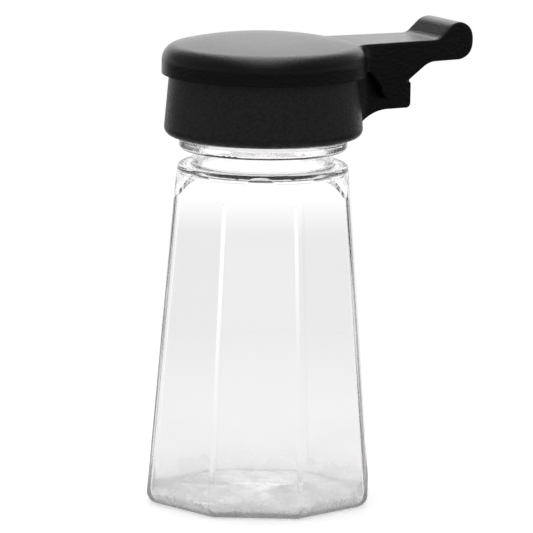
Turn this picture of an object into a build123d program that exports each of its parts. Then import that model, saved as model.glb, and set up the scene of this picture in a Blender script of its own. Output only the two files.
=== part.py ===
from build123d import *
from math import atan2, cos, radians, sin, tan
import os

os.makedirs("parts", exist_ok=True)

# A table shaker: a clear eight-sided jar, a black screw cap with a sifter deck,
# and a flip lid whose thumb lever is pressed down to lift it.
# Millimetres, +Z up, origin at the centre of the jar's base, lever towards +X.

# Jar body
panel_count = 8
base_flats = 50.6          # across flats at the table
panel_top_flats = 39.0     # across flats where the panels end
panel_height = 73.7
panel_turn = 12.95         # degrees from +X to the middle of the nearest panel
ridge_radius = 1.3         # rounding between two panels
base_edge_radius = 3.0
jar_wall = 1.2
jar_floor = 1.5
inner_ridge_radius = 1.2
inner_floor_radius = 2.0

# Jar shoulder and neck
shoulder_height = 3.5      # from the panels' end up to the neck's root
shoulder_radius = 19.45    # of the round band above the panels
shoulder_corner = 0.9
shoulder_land = 0.1        # straight part of the band under its rounding
shoulder_flare = 1.9       # how far the band widens before the panels take over
shoulder_flare_drop = 3.6
neck_radius = 16.0
neck_height = 3.5
neck_corner = 0.5          # hollow rounding at the neck's ends
mouth_radius = 14.6
bead_radius = 19.05
bead_height = 2.6
bead_rounding = 0.8
finish_radius = 16.9       # root of the screw thread
finish_height = 12.6       # from the bead up to the rim
finish_corner = 0.3
rim_rounding = 0.6

# Screw cap
collar_top_radius = 21.4
collar_bottom_radius = 22.65
collar_gap = 0.4           # between the bead and the collar's lower edge
collar_edge_radius = 1.85
collar_top_rounding = 0.7
cap_bore_radius = 18.8     # root of the cap's thread
liner_seat_radius = 18.3
liner_seat_depth = 1.6
deck_thickness = 1.8
dish_radius = 12.2
dish_depth = 0.6
hole_radius = 1.1
hole_ring_radius = 6.0
hole_ring_count = 8

# Liner between the jar's rim and the cap
liner_thickness = 1.0
liner_width = 3.8
liner_clearance = 0.1

# Hinge
hinge_reach = 8.2          # from the collar's top radius out to the pin
hinge_drop = 4.3           # from the deck's top face down to the pin
pin_radius = 1.2
pin_running_clearance = 0.05
pin_end_cover = 1.2        # plastic left over the pin's blind end
pin_end_recess = 0.2       # of its other end under the cheek's face
open_angle = 95.0

# Bracket on the cap that the lid turns on
bracket_half_width = 5.5
bracket_reach = 6.1        # from the pin out to the bracket's end face
bracket_knuckle = 5.7      # radius of its rounded top about the pin
bracket_depth = 5.9        # from the pin down to the bracket's underside
bracket_corner = 1.1
bracket_root_radius = 10.2
bracket_root_start = 0.1   # where the root's sweep starts, inwards of the pin
bracket_top_drop = 1.6     # under the deck's top face, beneath the lid's skirt

# Lid
lid_clearance = 0.4        # between the skirt and the edge of the deck
lid_overlap = 0.9          # of the skirt over the edge of the deck
skirt_height = 2.9
crown_corner = 3.8
crown_height = 9.0         # from the skirt's lower edge to the top of the crown
skirt_wall = 1.4
crown_wall = 1.8

# Lever moulded in one with the lid
lever_step = 0.2           # of its top below the seam between the crown's corner and dome
lever_fall = 0.2           # how much lower its top is at the thumb bar
lever_root_half_width = 8.4
lever_end_half_width = 7.0
lever_edge_radius = 0.6
lever_root_flare = 3.0     # fillet between the lever's sides and the crown
lever_tuck = 12.0          # how far the lever's root runs in under the crown
lever_wall = 1.6
lever_web = 2.0
cheek_radius = 3.4
cheek_rake = 34.0          # degrees that the cheek's lower edge falls towards the pin
cheek_bend_radius = 6.0
cheek_bend_reach = 10.0    # from the pin out to the start of the falling edge
cheek_running_gap = 0.3    # beside the bracket
hinge_boss_radius = 2.9
stop_clearance = 0.05
stop_root = 0.5            # how far the stop runs up into the web

# Thumb bar, its ends flush with the lever's sides
bar_reach = 18.1           # from the pin
bar_rise = 8.9             # above the pin
bar_radius = 4.35
bar_ramp = 42.0            # degrees that the lever's top climbs to the bar
bar_sweep_radius = 3.0     # hollow at the ramp's foot

# Seal pad inside the lid
seal_gap = 0.2             # over the dish
seal_radius = 11.2
seal_thickness = 1.5
seal_rounding = 0.3
peg_root_radius = 0.72
peg_tip_radius = 0.5
boss_radius = 9.0
boss_wall = 1.5
boss_roof = 1.0            # over the plug's socket, under the crown's wall
plug_clearance = 0.15
plug_height = 2.4


def corner_end(radius, corner, corner_z, top_z):
    """X and Z where a crown's corner arc meets its dome, and how far both lean there."""
    across = radius - corner
    rise = corner_z - top_z
    dome = (corner ** 2 - across ** 2 - rise ** 2) / (2 * (rise + corner))
    lean = atan2(rise + dome, across)
    return across + corner * cos(lean), corner_z + corner * sin(lean), lean


# Heights and places worked out from the sizes above
shoulder_top_z = panel_height + shoulder_height
bead_z = shoulder_top_z + neck_height
bead_top_z = bead_z + bead_height
rim_z = bead_top_z + finish_height
deck_under_z = rim_z + liner_thickness
deck_top_z = deck_under_z + deck_thickness
dish_z = deck_top_z - dish_depth
collar_z = bead_top_z + collar_gap
skirt_z = deck_top_z - lid_overlap
crown_corner_z = skirt_z + skirt_height
crown_z = skirt_z + crown_height
lid_radius = collar_top_radius + lid_clearance + skirt_wall
crown_seam_z = corner_end(lid_radius, crown_corner, crown_corner_z, crown_z)[1]
pin_x = collar_top_radius + hinge_reach
pin_z = deck_top_z - hinge_drop
bar_x = pin_x + bar_reach
bar_z = pin_z + bar_rise
lever_start_x = lid_radius - lever_tuck
lever_top_z = crown_seam_z - lever_step
lever_end_z = lever_top_z - lever_fall
seal_z = dish_z + seal_gap

cut_margin = 1.0           # how far a cutter reaches past what it cuts
close_to = 0.01            # for finding an edge by its place


def outline(corners):
    """A face in the XZ plane from (x, z, rounding) corners; a rounding of 0 stays sharp."""
    face = make_face(Polyline(*[(x, z) for x, z, rounding in corners], close=True))
    for x, z, rounding in corners:
        if rounding > 0:
            face = fillet(face.vertices().sort_by_distance((x, z))[0], rounding)
    return Plane.XZ * face


def turned(corners):
    """A solid of revolution about the jar's axis."""
    return revolve(outline(corners), axis=Axis.Z)


def circle_edges(solid, radius, z):
    """The edges of a solid that lie on one circle about the jar's axis."""
    circles = solid.edges().filter_by(GeomType.CIRCLE)
    at_height = circles.filter_by(lambda edge: abs(edge.arc_center.Z - z) < close_to)
    return at_height.filter_by(lambda edge: abs(edge.radius - radius) < close_to)


def panelled(flats_at_base, flats_at_top, bottom_z, top_z, rounding):
    """The tapering eight-sided form, cut between two heights, with rounded ridges."""
    taper = (flats_at_top - flats_at_base) / panel_height
    first_ridge = panel_turn - 180 / panel_count
    ends = []
    for z in (bottom_z, top_z):
        apothem = (flats_at_base + taper * z) / 2
        ends.append(Pos(0, 0, z) * RegularPolygon(apothem, panel_count, False, first_ridge))
    body = loft(ends)
    ridges = body.edges().filter_by(lambda edge: abs(edge.tangent_at(0.5).Z) > 0.5)
    return fillet(ridges, rounding)


def shoulder_form(inset):
    """The round band and shoulder that cut the panels off, moved inwards by inset."""
    band = shoulder_radius - inset
    top = shoulder_top_z - inset
    foot = panel_height - shoulder_flare_drop
    flare = band + shoulder_flare
    return turned([
        (0, 0, 0),
        (base_flats, 0, 0),
        (base_flats, foot - (base_flats - flare), 0),
        (flare, foot, 0),
        (band, top - shoulder_corner - shoulder_land, 0),
        (band, top, shoulder_corner),
        (0, top, 0),
    ])


def make_jar():
    outside = panelled(base_flats, panel_top_flats, 0, shoulder_top_z, ridge_radius)
    outside = fillet(outside.edges().group_by(Axis.Z)[0], base_edge_radius) & shoulder_form(0)
    neck = turned([
        (0, panel_height, 0),
        (neck_radius, panel_height, 0),
        (neck_radius, bead_z, neck_corner),
        (bead_radius, bead_z, bead_rounding),
        (bead_radius, bead_top_z, bead_rounding),
        (finish_radius, bead_top_z, finish_corner),
        (finish_radius, rim_z, rim_rounding),
        (0, rim_z, 0),
    ])
    outside += neck
    outside = fillet(circle_edges(outside, neck_radius, shoulder_top_z), neck_corner)
    base_inner = base_flats - 2 * jar_wall
    top_inner = panel_top_flats - 2 * jar_wall
    hollow = panelled(base_inner, top_inner, jar_floor, shoulder_top_z, inner_ridge_radius)
    hollow = fillet(hollow.edges().group_by(Axis.Z)[0], inner_floor_radius) & shoulder_form(jar_wall)
    mouth = Pos(0, 0, panel_height) * Cylinder(
        mouth_radius, rim_z - panel_height, align=(Align.CENTER, Align.CENTER, Align.MIN))
    return outside - hollow - mouth


def hole_places():
    """One hole in the middle and a ring of holes round it."""
    return [Location((0, 0))] + list(PolarLocations(hole_ring_radius, hole_ring_count))


def make_bracket():
    """The block on the back of the cap that carries the pin."""
    under_z = pin_z - bracket_depth
    end_x = pin_x + bracket_reach
    sweep_x = pin_x - bracket_root_start
    top_z = deck_top_z - bracket_top_drop
    foot_z = collar_z + collar_edge_radius
    block = outline([
        (cap_bore_radius, under_z, 0),
        (end_x, under_z, bracket_corner),
        (end_x, pin_z, bracket_reach - bracket_knuckle),
        (cap_bore_radius, pin_z, 0),
    ])
    neck = outline([
        (cap_bore_radius, foot_z, 0),
        (sweep_x, foot_z, 0),
        (sweep_x, under_z, 0),
        (pin_x, pin_z, 0),
        (pin_x, top_z, 0),
        (cap_bore_radius, top_z, 0),
    ])
    sweep = Plane.XZ * Pos(sweep_x, under_z - bracket_root_radius) * Circle(bracket_root_radius)
    knuckle = Plane.XZ * Pos(pin_x, pin_z) * Circle(bracket_knuckle)
    return extrude(block + (neck - sweep) + knuckle, bracket_half_width, both=True)


def pin_hole(radius, near_y, far_y):
    """A round bar along Y at the hinge, between two places."""
    middle = (near_y + far_y) / 2
    return Pos(pin_x, middle, pin_z) * Rot(90, 0, 0) * Cylinder(radius, far_y - near_y)


def make_cap():
    shell = turned([
        (0, collar_z, 0),
        (collar_bottom_radius, collar_z, collar_edge_radius),
        (collar_top_radius, deck_top_z, collar_top_rounding),
        (0, deck_top_z, 0),
    ])
    seat_z = deck_under_z - liner_seat_depth
    bore = turned([
        (0, collar_z - cut_margin, 0),
        (cap_bore_radius, collar_z - cut_margin, 0),
        (cap_bore_radius, seat_z, 0),
        (liner_seat_radius, seat_z, 0),
        (liner_seat_radius, deck_under_z, 0),
        (0, deck_under_z, 0),
    ])
    dish = turned([
        (0, dish_z, 0),
        (dish_radius, dish_z, dish_depth / 2),
        (dish_radius, deck_top_z + cut_margin, 0),
        (0, deck_top_z + cut_margin, 0),
    ])
    past_bracket = bracket_half_width + cut_margin
    pin_bore = pin_hole(pin_radius + pin_running_clearance, -past_bracket, past_bracket)
    sifter_hole = Pos(0, 0, deck_top_z) * Cylinder(hole_radius, 4 * deck_thickness)
    holes = [place * sifter_hole for place in hole_places()]
    return shell + make_bracket() - bore - dish - pin_bore - holes


def make_liner():
    outer = liner_seat_radius - liner_clearance
    return turned([
        (outer - liner_width, rim_z, 0),
        (outer, rim_z, 0),
        (outer, deck_under_z, 0),
        (outer - liner_width, deck_under_z, 0),
    ])


def crown_form(radius, corner, bottom_z, corner_z, top_z):
    """A turned dome over a straight skirt, the two joined by a tangent corner arc."""
    meet_x, meet_z, lean = corner_end(radius, corner, corner_z, top_z)
    meet = (meet_x, meet_z)
    edges = [
        Line((0, bottom_z), (radius, bottom_z)),
        Line((radius, bottom_z), (radius, corner_z)),
        TangentArc((radius, corner_z), meet, tangent=(0, 1)),
        TangentArc(meet, (0, top_z), tangent=(-sin(lean), cos(lean))),
        Line((0, top_z), (0, bottom_z)),
    ]
    return revolve(Plane.XZ * make_face(edges), axis=Axis.Z)


def lever_half_width(x, inset=0):
    """Half the lever's width at a place along it."""
    narrowing = (lever_root_half_width - lever_end_half_width) / (bar_x - lid_radius)
    return lever_root_half_width - narrowing * (x - lid_radius) - inset


def lever_plan(start_x, end_x, inset, low_z, high_z):
    """The lever's tapering plan as a tall block, moved inwards by inset."""
    corners = [
        (start_x, lever_half_width(start_x, inset)),
        (end_x, lever_half_width(end_x, inset)),
        (end_x, -lever_half_width(end_x, inset)),
        (start_x, -lever_half_width(start_x, inset)),
    ]
    return extrude(Pos(0, 0, low_z) * make_face(Polyline(*corners, close=True)), high_z - low_z)


def swept_lever(crown, low_z):
    """The crown with a tall plain lever through it, their sides joined by a round fillet."""
    start_x = lever_start_x - cut_margin
    end_x = bar_x + bar_radius + cut_margin
    joined = crown + lever_plan(start_x, end_x, 0, low_z, crown_z + 2 * lever_root_flare)

    def is_seam(edge):
        middle = edge.position_at(0.5)
        on_side = abs(abs(middle.Y) - lever_half_width(middle.X)) < close_to
        return on_side and skirt_z + close_to < middle.Z < crown_z

    return fillet(joined.edges().filter_by(is_seam), lever_root_flare)


def lever_side():
    """The lever seen from the side: web, falling cheeks, the knuckle round the pin and the thumb bar."""
    ramp = radians(bar_ramp)
    rake = radians(cheek_rake)
    start = (lever_start_x, lever_top_z)
    crest = (bar_x - bar_radius * sin(ramp), bar_z + bar_radius * cos(ramp))
    foot = (crest[0] - (crest[1] - lever_end_z) / tan(ramp), lever_end_z)
    under = (bar_x, bar_z - bar_radius)
    bend = (pin_x + cheek_bend_reach, bar_z - bar_radius)
    edges = [
        Polyline(start, foot, crest),
        ThreePointArc(crest, (bar_x + bar_radius, bar_z), under),
        Polyline(
            under,
            bend,
            (pin_x, bend[1] - cheek_bend_reach * tan(rake)),
            (pin_x - cheek_radius, pin_z),
            (lid_radius, skirt_z),
            (lever_start_x, skirt_z),
            start,
        ),
    ]
    side = make_face(edges)
    side = fillet(side.vertices().sort_by_distance(foot)[0], bar_sweep_radius)
    side = fillet(side.vertices().sort_by_distance(bend)[0], cheek_bend_radius)
    return Plane.XZ * side + Plane.XZ * Pos(pin_x, pin_z) * Circle(cheek_radius)


def make_stop():
    """A thickening under the web that lies flat on the bracket's end when the lid is fully open."""
    face = bracket_reach + stop_clearance
    height = lever_end_z - pin_z - face
    block = outline([
        (pin_x + face, pin_z, 0),
        (pin_x + face + height, pin_z, 0),
        (pin_x + face + height, pin_z - bracket_depth / 2, 0),
        (pin_x + face, pin_z - bracket_depth / 2, 0),
    ])
    opened = extrude(block, lever_root_half_width, both=True)
    return Pos(pin_x, 0, pin_z) * Rot(0, -open_angle, 0) * Pos(-pin_x, 0, -pin_z) * opened


def hinge_boss(side):
    """The round pad inside a cheek that runs beside the bracket."""
    inner = bracket_half_width + cheek_running_gap
    outer = lever_half_width(pin_x, lever_wall / 2)
    middle = side * (inner + outer) / 2
    return Pos(pin_x, middle, pin_z) * Rot(90, 0, 0) * Cylinder(hinge_boss_radius, outer - inner)


def make_lid():
    crown = crown_form(lid_radius, crown_corner, skirt_z, crown_corner_z, crown_z)
    hollow = crown_form(
        lid_radius - skirt_wall,
        crown_corner - skirt_wall,
        skirt_z - cut_margin,
        crown_corner_z,
        crown_z - crown_wall,
    )
    low_z = pin_z - cheek_radius - cut_margin
    lever = swept_lever(crown, low_z) & extrude(lever_side(), lid_radius, both=True)
    solid_lid = crown + lever
    level = solid_lid.faces().filter_by(GeomType.PLANE).filter_by(lambda face: face.normal_at().Z > 0.99)
    rims = level.sort_by(Axis.Z)[-1].edges().sort_by(Axis.X)[:-1]
    solid_lid = fillet(rims, lever_edge_radius)

    web_under_z = lever_top_z - lever_web
    channel = lever_plan(pin_x - hinge_reach, bar_x - bar_radius, lever_wall, low_z, web_under_z) - crown
    stop = make_stop() & lever_plan(pin_x, bar_x, 0, low_z, web_under_z + stop_root)

    boss = Pos(0, 0, seal_z + seal_thickness) * Cylinder(
        boss_radius, crown_z - crown_wall / 2 - seal_z - seal_thickness,
        align=(Align.CENTER, Align.CENTER, Align.MIN))
    socket = Pos(0, 0, seal_z) * Cylinder(
        boss_radius - boss_wall, crown_z - crown_wall - boss_roof - seal_z,
        align=(Align.CENTER, Align.CENTER, Align.MIN))

    lid = solid_lid - channel + stop - hollow + (boss - socket)
    lid += [hinge_boss(side) for side in (-1, 1)]
    near_end = lever_half_width(pin_x) - pin_end_cover
    return lid - pin_hole(pin_radius, -near_end, lever_half_width(pin_x) + cut_margin)


def make_pin():
    near_end = lever_half_width(pin_x) - pin_end_cover
    return pin_hole(pin_radius, -near_end, lever_half_width(pin_x) - pin_end_recess)


def make_seal():
    pad_top_z = seal_z + seal_thickness
    pad = turned([
        (0, seal_z, 0),
        (seal_radius, seal_z, seal_rounding),
        (seal_radius, pad_top_z, seal_rounding),
        (0, pad_top_z, 0),
    ])
    plug_radius = boss_radius - boss_wall - plug_clearance
    plug = turned([
        (0, seal_z, 0),
        (plug_radius, seal_z, 0),
        (plug_radius, pad_top_z + plug_height, seal_rounding),
        (0, pad_top_z + plug_height, 0),
    ])
    peg_length = seal_z - deck_under_z
    peg = Pos(0, 0, seal_z - peg_length / 2) * Cone(peg_tip_radius, peg_root_radius, peg_length)
    pegs = [Pos(place.position.X, place.position.Y, 0) * peg for place in hole_places()]
    return pad + plug + pegs


nodes = {
    "jar": make_jar(),
    "screw_cap": make_cap(),
    "cap_liner": make_liner(),
    "flip_lid": make_lid(),
    "hinge_pin": make_pin(),
    "lid_seal": make_seal(),
}

for name, shape in nodes.items():
    export_step(shape, f"parts/{name}.step")
    print(name, round(shape.volume, 1), shape.is_valid, len(shape.solids()))
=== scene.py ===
import math

import bmesh
import bpy
from mathutils import Matrix, Vector


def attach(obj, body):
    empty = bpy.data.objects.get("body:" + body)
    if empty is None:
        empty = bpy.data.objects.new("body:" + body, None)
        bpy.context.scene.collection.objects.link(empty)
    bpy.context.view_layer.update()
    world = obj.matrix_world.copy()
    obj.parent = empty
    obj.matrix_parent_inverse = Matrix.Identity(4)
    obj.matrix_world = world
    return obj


MM = 0.001

# Camera, solved from the photograph's outlines, in the part's own frame.
CAMERA_PLACE = (-0.57304, -0.96586, 0.25434)
CAMERA_HEADING = 0.5365
CAMERA_DOWN = 0.17699
CAMERA_ROLL = 0.0146
CAMERA_REACH = (0.05, 20.0)
LENS_MM = 339.13
SENSOR_MM = 36.0

# Directions: towards the back, the right and the top of the studio, and towards the lid's hinge.
BEHIND = (math.sin(CAMERA_HEADING), math.cos(CAMERA_HEADING), 0.0)
RIGHT = (math.cos(CAMERA_HEADING), -math.sin(CAMERA_HEADING), 0.0)
UP = (0.0, 0.0, 1.0)
HINGEWARD = (1.0, 0.0, 0.0)

# Black mouldings, each from smooth to eroded. Past the slide's edge, towards the hinge, the lever and
# the bracket come off a smooth slide, and there their colour is also darkened as painted shade.
LID_TONES = ((0.0012, 0.0012, 0.0013), (0.002, 0.002, 0.0022))
LID_ROUGHNESS = (0.22, 0.26)
LID_GRAIN_DEPTH = 0.1 * MM
CAP_TONES = ((0.0015, 0.0015, 0.0016), (0.0135, 0.0135, 0.014))
CAP_ROUGHNESS = (0.22, 0.42)
CAP_GRAIN_DEPTH = 0.15 * MM
BLACK_SPECULAR = 0.42
SLIDE_AND_SHADE_EDGE = (23.0 * MM, 24.5 * MM)

# Clear moulding: its colour, its tint in thick places, and the heights of the stippled foot's top edge
# and of the hazy shoulder's start.
CLEAR_COLOUR = (0.99, 0.986, 0.988, 1.0)
CLEAR_IOR = 1.5
TINT_COLOUR = (0.82, 0.80, 0.81, 1.0)
TINT_DENSITY = 40.0
FOOT_EDGE = (4.0 * MM, 9.0 * MM)
SHOULDER_HAZE = 0.35
SHOULDER_EDGE = (72.5 * MM, 74.5 * MM)

# Inner pieces: the darkest and the lightest tone of each, and the scale of the drawn wire's lines.
LINER_TONES = ((0.80, 0.80, 0.78), (0.88, 0.88, 0.86))
STEEL_TONES = ((0.55, 0.56, 0.58), (0.68, 0.69, 0.71))
SEAL_TONES = ((0.74, 0.74, 0.72), (0.80, 0.80, 0.78))
DRAWN_LINES = (9000.0, 120.0, 9000.0)

# Screw thread between jar and cap, right-handed. Its ridges are sunk a little into their walls, and
# the cap's lies lower than the neck's, so that the two mesh.
PITCH = 4.23 * MM
THREAD_STEPS = 72
NECK_RADIUS = 16.9 * MM
BORE_RADIUS = 18.8 * MM
THREAD_SUNK = 0.2 * MM
NECK_THREAD_CREST = 18.1 * MM
CAP_THREAD_CREST = 17.3 * MM
THREAD_ROOT_HALF = 0.95 * MM
THREAD_CREST_HALF = 0.4 * MM
THREAD_OFFSET = 1.4 * MM
NECK_THREAD_LOW = 86.6 * MM
CAP_THREAD_LOW = NECK_THREAD_LOW - THREAD_OFFSET
NECK_THREAD_TURNS = 1.4
CAP_THREAD_TURNS = 1.25
THREAD_RUN_OUT = 0.12
THREAD_END_HEIGHT = 0.1

# Paper floor as the camera sees it: it keeps the shadow near the object and is plain white beyond.
FLOOR_HALF = 3.0
PAPER = 0.85
PAPER_ROUGHNESS = 0.9
PAPER_SPECULAR = 0.1
FLOOR_GLOW = 0.42
SHADOW_REACH = (0.05, 0.2)

# Studio as clear plastic shows it: pale grey, and white towards the back. Behind the jar a pale grey
# wedge, which widens with distance, lies between the white sides and ends at the white backdrop.
# THROUGH_GLOW is what the lit paper gets where the backdrop has a strength of 1.
NEAR_THROUGH = 0.91
THROUGH_GLOW = 0.34
SHADOW_THROUGH = 0.3
BACKDROP = 1.35
BACKDROP_REACH = (0.355, 0.49)
BACKDROP_SPAN = (0.82, 0.92)
SIDE_BACKDROP = 1.17
BACKDROP_SIDES = (0.024, 0.05)
BACKDROP_SPREAD = 0.1
OVERHEAD_THROUGH = 0.9
OVERHEAD_RISE = (0.3, 0.8)

# Floor as gloss reflects it: grey under the object, dark round it and grey again far off.
UNDER_GLOSS = 0.3
UNDER_REACH = (0.08, 0.25)
NEAR_GLOSS = 0.02
FAR_GLOSS = 0.5
GLOSS_REACH = (0.9, 1.5)

# Studio as gloss reflects it: the room, the white wall behind, and a soft box overhead.
ROOM_GLOSS = (0.36, 0.32)
ROOM_SIDES = (-0.6, 0.6)
ROOM_UPPER = 0.5
ROOM_RISE = (0.05, 0.3)
WALL_GLOSS = 0.85
WALL_SIDES = (0.75, 0.92)
WALL_TOP = (0.45, 0.8)
BOX_GLOSS = 5.3
BOX_RISE = (0.2, 1.0)
BOX_FRONT = (-1.0, 0.7)
BOX_SPILL = 0.06
BOX_SIDES = (0.0, 0.42)

# Light on the object, and how often it may bounce between the jar's clear walls.
WORLD_LIGHT = 0.8
LAMP_WATTS = 2.0
LAMP_SIZE = 0.9
LAMP_PLACE = (0.15, 0.35, 0.9)
LAMP_AIM = (0.0, 0.0, 0.05)
WHITE = (1.0, 1.0, 1.0, 1.0)
CLEAR_BOUNCES = 24

# A Mix node's colour sockets share their names with its plain ones, so they go by number.
FIRST_COLOUR = 6
SECOND_COLOUR = 7
MIXED_COLOUR = 2

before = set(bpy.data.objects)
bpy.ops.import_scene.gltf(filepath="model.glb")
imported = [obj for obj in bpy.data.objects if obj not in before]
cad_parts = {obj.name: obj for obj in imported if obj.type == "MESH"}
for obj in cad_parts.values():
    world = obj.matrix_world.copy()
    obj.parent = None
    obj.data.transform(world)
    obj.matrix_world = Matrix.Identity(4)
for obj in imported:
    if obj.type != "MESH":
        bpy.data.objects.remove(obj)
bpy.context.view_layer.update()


# Nodes

def fill(tree, filled, inputs):
    """Fills a node's inputs: a socket is linked, and any other value is set."""
    for name, value in inputs.items():
        if isinstance(value, bpy.types.NodeSocket):
            tree.links.new(value, filled.inputs[name])
        else:
            filled.inputs[name].default_value = value


def node(tree, kind, inputs=None, **settings):
    """One node, with its settings and its inputs."""
    made = tree.nodes.new(kind)
    for name, value in settings.items():
        setattr(made, name, value)
    fill(tree, made, inputs or {})
    return made


def arithmetic(tree, operation, *values):
    return node(tree, "ShaderNodeMath", dict(enumerate(values)), operation=operation).outputs[0]


def added(tree, first, second):
    return arithmetic(tree, "ADD", first, second)


def times(tree, first, second):
    return arithmetic(tree, "MULTIPLY", first, second)


def larger(tree, first, second):
    return arithmetic(tree, "MAXIMUM", first, second)


def mixed(tree, factor, first, second):
    return node(tree, "ShaderNodeMix", {"Factor": factor, "A": first, "B": second}).outputs[0]


def blend_colours(tree, factor, first, second):
    inputs = {"Factor": factor, FIRST_COLOUR: (*first, 1.0), SECOND_COLOUR: (*second, 1.0)}
    return node(tree, "ShaderNodeMix", inputs, data_type="RGBA").outputs[MIXED_COLOUR]


def blend_shaders(tree, factor, first, second):
    return node(tree, "ShaderNodeMixShader", {0: factor, 1: first, 2: second}).outputs[0]


def glow(tree, strength):
    return node(tree, "ShaderNodeEmission", {"Color": WHITE, "Strength": strength}).outputs[0]


def noise(tree, place, scale, detail=3.0, roughness=0.5):
    inputs = {"Vector": place, "Scale": scale, "Detail": detail, "Roughness": roughness}
    return node(tree, "ShaderNodeTexNoise", inputs).outputs["Fac"]


def spread(tree, value, low, high, start=0.3, end=0.7):
    """Maps a span of values to another, by default the middle of a noise."""
    inputs = {"Value": value, "From Min": start, "From Max": end, "To Min": low, "To Max": high}
    return node(tree, "ShaderNodeMapRange", inputs).outputs["Result"]


def bump(tree, height, depth, strength=1.0, under=None):
    """A relief of the given depth, over another one where there is one."""
    inputs = {"Height": height, "Distance": depth, "Strength": strength}
    if under is not None:
        inputs["Normal"] = under
    return node(tree, "ShaderNodeBump", inputs).outputs["Normal"]


def along(tree, vector, direction):
    """How far a vector goes in a direction."""
    inputs = {0: vector, 1: direction}
    return node(tree, "ShaderNodeVectorMath", inputs, operation="DOT_PRODUCT").outputs["Value"]


def behind(tree, direction, span):
    """1 towards the back of the studio, and 0 to the sides and in front."""
    return spread(tree, along(tree, direction, BEHIND), 0.0, 1.0, *span)


# Materials

def start_material(name):
    """A node material with its own shader and a place to read the piece's own coordinates."""
    material = bpy.data.materials.new(name)
    material.use_nodes = True
    tree = material.node_tree
    shader = tree.nodes["Principled BSDF"]
    place = tree.nodes.new("ShaderNodeTexCoord").outputs["Object"]
    return material, tree, shader, place


def black_plastic(name, tones, roughness, grain_depth):
    """Spark-eroded moulding: near black, with a fine even grain, smooth where the slide was, and darker
    there as painted shade.
    """
    material, tree, shader, place = start_material(name)
    cloud = spread(tree, noise(tree, place, scale=70.0, detail=2.0), low=0.6, high=1.0)
    # Past the slide's edge the colour is darkened as painted shade, besides the smooth slide's lower
    # roughness.
    eroded_and_unshaded = spread(tree, along(tree, place, HINGEWARD), 1.0, 0.0, *SLIDE_AND_SHADE_EDGE)
    grain = noise(tree, place, scale=1500.0, roughness=0.7)
    speckle = spread(tree, grain, low=0.4, high=1.6, start=0.38, end=0.62)
    mottle_and_painted_shade = times(tree, times(tree, cloud, eroded_and_unshaded), speckle)
    flow = bump(tree, noise(tree, place, scale=120.0, detail=2.0), depth=0.02 * MM, strength=0.5)
    fill(tree, shader, {
        "Base Color": blend_colours(tree, mottle_and_painted_shade, *tones),
        "Roughness": mixed(tree, mottle_and_painted_shade, *roughness),
        "Normal": bump(tree, grain, grain_depth, under=flow),
        "Specular IOR Level": BLACK_SPECULAR,
    })
    return material


def clear_plastic():
    """Clear moulding: polished, slowly rippled, tinted in thick places, stippled foot, hazy shoulder."""
    material, tree, shader, place = start_material("clear_plastic")
    height = along(tree, place, UP)
    foot = spread(tree, height, 1.0, 0.0, *FOOT_EDGE)
    shoulder = spread(tree, height, 0.0, SHOULDER_HAZE, *SHOULDER_EDGE)
    stippled = larger(tree, foot, shoulder)
    polished = spread(tree, noise(tree, place, scale=90.0), low=0.0, high=0.02, start=0.45, end=0.75)
    frosted = spread(tree, noise(tree, place, scale=260.0), low=0.1, high=0.4)
    ripple = bump(tree, noise(tree, place, scale=55.0, detail=1.0), depth=0.04 * MM, strength=0.35)
    pits = times(tree, noise(tree, place, scale=420.0), stippled)
    fill(tree, shader, {
        "Base Color": CLEAR_COLOUR,
        "Transmission Weight": 1.0,
        "IOR": CLEAR_IOR,
        "Roughness": mixed(tree, stippled, polished, frosted),
        "Normal": bump(tree, pits, depth=0.25 * MM, strength=0.7, under=ripple),
    })
    tint = node(tree, "ShaderNodeVolumeAbsorption", {"Color": TINT_COLOUR, "Density": TINT_DENSITY})
    tree.links.new(tint.outputs["Volume"], tree.nodes["Material Output"].inputs["Volume"])
    return material


def liner_board():
    """Foamed liner board: off-white, matt, with tiny cells."""
    material, tree, shader, place = start_material("liner_board")
    cells = noise(tree, place, scale=2200.0, detail=2.0, roughness=0.7)
    fill(tree, shader, {
        "Base Color": blend_colours(tree, spread(tree, cells, 0.0, 1.0), *LINER_TONES),
        "Roughness": 0.8,
        "Normal": bump(tree, cells, depth=0.03 * MM, strength=0.5),
    })
    return material


def drawn_steel():
    """Drawn wire: fine lines along its length, which is the frame's Y."""
    material, tree, shader, place = start_material("drawn_steel")
    stretched = node(tree, "ShaderNodeMapping", {"Vector": place, "Scale": DRAWN_LINES})
    lines = noise(tree, stretched.outputs["Vector"], scale=1.0, detail=2.0)
    fill(tree, shader, {
        "Base Color": blend_colours(tree, lines, *STEEL_TONES),
        "Metallic": 1.0,
        "Roughness": spread(tree, lines, low=0.22, high=0.38),
        "Normal": bump(tree, lines, depth=0.004 * MM, strength=0.5),
    })
    return material


def soft_silicone():
    """Soft moulded seal: milky, matt, a little light passes through."""
    material, tree, shader, place = start_material("soft_silicone")
    cloud = spread(tree, noise(tree, place, scale=400.0, detail=2.0), 0.0, 1.0)
    grain = noise(tree, place, scale=2600.0, detail=2.0)
    fill(tree, shader, {
        "Base Color": blend_colours(tree, cloud, *SEAL_TONES),
        "Roughness": 0.55,
        "Normal": bump(tree, grain, depth=0.01 * MM, strength=0.5),
        "Subsurface Weight": 0.2,
        "Subsurface Scale": 1.0 * MM,
    })
    return material


lid_black = black_plastic("lid_black", LID_TONES, LID_ROUGHNESS, LID_GRAIN_DEPTH)
cap_black = black_plastic("cap_black", CAP_TONES, CAP_ROUGHNESS, CAP_GRAIN_DEPTH)
clear = clear_plastic()
FINISHES = {
    "jar": clear,
    "screw_cap": cap_black,
    "cap_liner": liner_board(),
    "flip_lid": lid_black,
    "hinge_pin": drawn_steel(),
    "lid_seal": soft_silicone(),
}
for name, finish in FINISHES.items():
    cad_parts[name].material_slots[0].material = finish


# Screw thread

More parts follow.
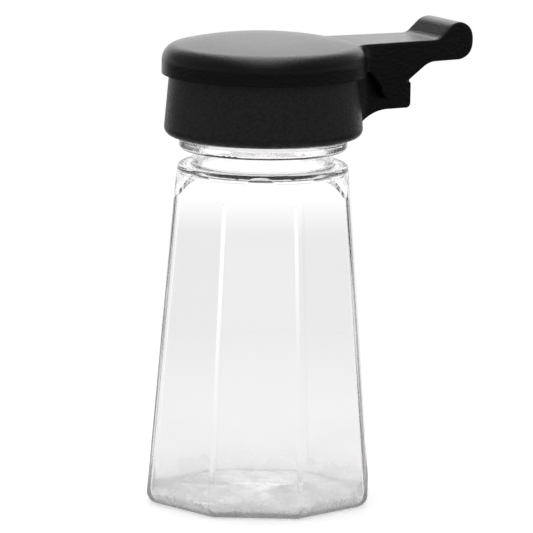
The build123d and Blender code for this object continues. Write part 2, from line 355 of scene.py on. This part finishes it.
def new_piece(name, bm, body, material):
    """A finished mesh becomes a piece that moves with its body."""
    mesh = bpy.data.meshes.new(name)
    bm.to_mesh(mesh)
    bm.free()
    piece = bpy.data.objects.new(name, mesh)
    bpy.context.scene.collection.objects.link(piece)
    mesh.materials.append(material)
    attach(piece, body)


def thread_ridge(root, crest, low, turns):
    """A trapezoid ridge swept along a right-hand helix, whose crest sinks towards both ends."""
    bm = bmesh.new()
    bm.faces.new([
        bm.verts.new((root, 0.0, low - THREAD_ROOT_HALF)),
        bm.verts.new((crest, 0.0, low - THREAD_CREST_HALF)),
        bm.verts.new((crest, 0.0, low + THREAD_CREST_HALF)),
        bm.verts.new((root, 0.0, low + THREAD_ROOT_HALF)),
    ])
    steps = round(THREAD_STEPS * turns)
    bmesh.ops.spin(
        bm, geom=bm.verts[:] + bm.edges[:] + bm.faces[:], cent=(0, 0, 0), axis=(0, 0, 1),
        dvec=(0, 0, PITCH * turns / steps), angle=2 * math.pi * turns, steps=steps,
    )
    middle = (root + crest) / 2
    for vert in bm.verts:
        radius = math.hypot(vert.co.x, vert.co.y)
        if (radius > middle) == (crest > root):
            # The angle gives the part of a turn, and the height gives the whole turns.
            part_turn = math.atan2(vert.co.y, vert.co.x) / (2 * math.pi) % 1.0
            turn = part_turn + round((vert.co.z - low) / PITCH - part_turn)
            from_end = min(turn, turns - turn)
            height = max(THREAD_END_HEIGHT, min(1.0, from_end / THREAD_RUN_OUT))
            wanted = root + (crest - root) * height
            vert.co.x *= wanted / radius
            vert.co.y *= wanted / radius
    bmesh.ops.recalc_face_normals(bm, faces=bm.faces[:])
    for face in bm.faces:
        face.smooth = True
    return bm


def add_threads():
    root = NECK_RADIUS - THREAD_SUNK
    ridge = thread_ridge(root, NECK_THREAD_CREST, NECK_THREAD_LOW, NECK_THREAD_TURNS)
    new_piece("neck_thread", ridge, "jar", clear)
    root = BORE_RADIUS + THREAD_SUNK
    ridge = thread_ridge(root, CAP_THREAD_CREST, CAP_THREAD_LOW, CAP_THREAD_TURNS)
    new_piece("cap_thread", ridge, "cap", cap_black)


# Camera

def make_camera():
    camera = bpy.data.objects.new("camera", bpy.data.cameras.new("camera"))
    bpy.context.scene.collection.objects.link(camera)
    camera.data.lens = LENS_MM
    camera.data.sensor_width = SENSOR_MM
    camera.data.clip_start, camera.data.clip_end = CAMERA_REACH
    turned = Matrix.Rotation(-CAMERA_HEADING, 4, "Z")
    tilted = Matrix.Rotation(math.pi / 2 - CAMERA_DOWN, 4, "X")
    rolled = Matrix.Rotation(CAMERA_ROLL, 4, "Z")
    camera.matrix_world = Matrix.Translation(CAMERA_PLACE) @ turned @ tilted @ rolled
    bpy.context.scene.camera = camera


# Stage and light

def floor_through(tree, place, away, direction):
    """The floor's strength as clear plastic shows it: pale grey, and white behind and beside the jar."""
    aside = arithmetic(tree, "ABSOLUTE", along(tree, place, RIGHT))
    past_jar = arithmetic(tree, "SUBTRACT", aside, times(tree, away, BACKDROP_SPREAD))
    backdrop = larger(
        tree, spread(tree, away, NEAR_THROUGH, BACKDROP, *BACKDROP_REACH),
        spread(tree, past_jar, NEAR_THROUGH, SIDE_BACKDROP, *BACKDROP_SIDES),
    )
    return mixed(tree, behind(tree, direction, BACKDROP_SPAN), NEAR_THROUGH, backdrop)


def floor_gloss(tree, away, direction):
    """The floor's strength as gloss reflects it, with the wall's white towards the back."""
    shine = larger(
        tree, spread(tree, away, UNDER_GLOSS, NEAR_GLOSS, *UNDER_REACH),
        spread(tree, away, NEAR_GLOSS, FAR_GLOSS, *GLOSS_REACH),
    )
    return mixed(tree, behind(tree, direction, WALL_SIDES), shine, WALL_GLOSS)


def white_paper():
    """Paper that keeps the object's shadow, and shows gloss and clear plastic the studio's floor."""
    material, tree, shader, place = start_material("white_paper")
    fill(tree, shader, {
        "Base Color": (PAPER, PAPER, PAPER, 1.0),
        "Roughness": PAPER_ROUGHNESS,
        "Specular IOR Level": PAPER_SPECULAR,
    })
    paper = shader.outputs[0]
    away = node(tree, "ShaderNodeVectorMath", {0: place}, operation="LENGTH").outputs["Value"]
    direction = node(tree, "ShaderNodeVectorMath", {0: place}, operation="NORMALIZE").outputs["Vector"]
    light = node(tree, "ShaderNodeLightPath")
    through = light.outputs["Is Transmission Ray"]

    backdrop = floor_through(tree, place, away, direction)
    lift = mixed(tree, through, FLOOR_GLOW, added(tree, backdrop, THROUGH_GLOW - 1.0))
    shadowed = node(tree, "ShaderNodeAddShader", {0: paper, 1: glow(tree, lift)}).outputs[0]
    plain = glow(tree, mixed(tree, through, 1.0, backdrop))
    far = spread(tree, away, 0.0, 1.0, *SHADOW_REACH)
    clear_of_shadow = larger(tree, far, times(tree, through, SHADOW_THROUGH))
    seen = blend_shaders(tree, clear_of_shadow, shadowed, plain)

    gloss = glow(tree, floor_gloss(tree, away, direction))
    unseen = blend_shaders(tree, light.outputs["Is Glossy Ray"], paper, gloss)
    is_seen = larger(tree, light.outputs["Is Camera Ray"], through)
    shown = blend_shaders(tree, is_seen, unseen, seen)
    tree.links.new(shown, tree.nodes["Material Output"].inputs["Surface"])
    return material


def make_floor():
    bm = bmesh.new()
    bmesh.ops.create_grid(bm, x_segments=1, y_segments=1, size=FLOOR_HALF)
    mesh = bpy.data.meshes.new("floor")
    bm.to_mesh(mesh)
    bm.free()
    floor = bpy.data.objects.new("floor", mesh)
    bpy.context.scene.collection.objects.link(floor)
    mesh.materials.append(white_paper())


def studio_gloss(tree, direction):
    """What gloss reflects in a direction: the room, the white wall behind and the soft box overhead."""
    up = along(tree, direction, UP)
    side = along(tree, direction, RIGHT)
    room = spread(tree, side, *ROOM_GLOSS, *ROOM_SIDES)
    room = times(tree, room, spread(tree, up, 1.0, ROOM_UPPER, *ROOM_RISE))
    wall = spread(tree, up, WALL_GLOSS, 0.0, *WALL_TOP)
    wall = times(tree, wall, behind(tree, direction, WALL_SIDES))
    box = spread(tree, up, 0.0, BOX_GLOSS, *BOX_RISE)
    box = times(tree, box, behind(tree, direction, BOX_FRONT))
    box = times(tree, box, spread(tree, arithmetic(tree, "ABSOLUTE", side), 1.0, BOX_SPILL, *BOX_SIDES))
    return added(tree, added(tree, room, wall), box)


def studio_through(tree, direction):
    """What clear plastic shows in a direction: pale grey, white behind and pale grey overhead."""
    backdrop = mixed(tree, behind(tree, direction, BACKDROP_SPAN), NEAR_THROUGH, BACKDROP)
    overhead = spread(tree, along(tree, direction, UP), 0.0, 1.0, *OVERHEAD_RISE)
    return mixed(tree, overhead, backdrop, OVERHEAD_THROUGH)


def make_world():
    """White to the camera, plain light on the object, and a studio for gloss and clear plastic."""
    world = bpy.data.worlds.new("studio")
    bpy.context.scene.world = world
    world.use_nodes = True
    tree = world.node_tree
    direction = node(tree, "ShaderNodeTexCoord").outputs["Generated"]
    light = node(tree, "ShaderNodeLightPath")
    level = mixed(tree, light.outputs["Is Glossy Ray"], WORLD_LIGHT, studio_gloss(tree, direction))
    level = mixed(tree, light.outputs["Is Transmission Ray"], level, studio_through(tree, direction))
    level = mixed(tree, light.outputs["Is Camera Ray"], level, 1.0)
    fill(tree, tree.nodes["Background"], {"Color": WHITE, "Strength": level})
    # Sampled as a lamp, the world would light gloss at its plain level and not as the studio.
    world.cycles.sampling_method = "NONE"


def make_overhead_lamp():
    """A weak, wide lamp towards the back, which gloss doesn't reflect."""
    lamp = bpy.data.objects.new("overhead", bpy.data.lights.new("overhead", "AREA"))
    bpy.context.scene.collection.objects.link(lamp)
    lamp.data.shape = "SQUARE"
    lamp.data.size = LAMP_SIZE
    lamp.data.energy = LAMP_WATTS
    lamp.visible_glossy = False
    lamp.location = LAMP_PLACE
    lamp.rotation_mode = "QUATERNION"
    lamp.rotation_quaternion = (Vector(LAMP_AIM) - Vector(LAMP_PLACE)).to_track_quat("-Z", "Y")


add_threads()
make_camera()
make_floor()
make_world()
make_overhead_lamp()
bpy.context.scene.view_settings.view_transform = "Standard"
bpy.context.scene.cycles.max_bounces = CLEAR_BOUNCES
bpy.context.scene.cycles.glossy_bounces = CLEAR_BOUNCES
bpy.context.scene.cycles.transmission_bounces = CLEAR_BOUNCES
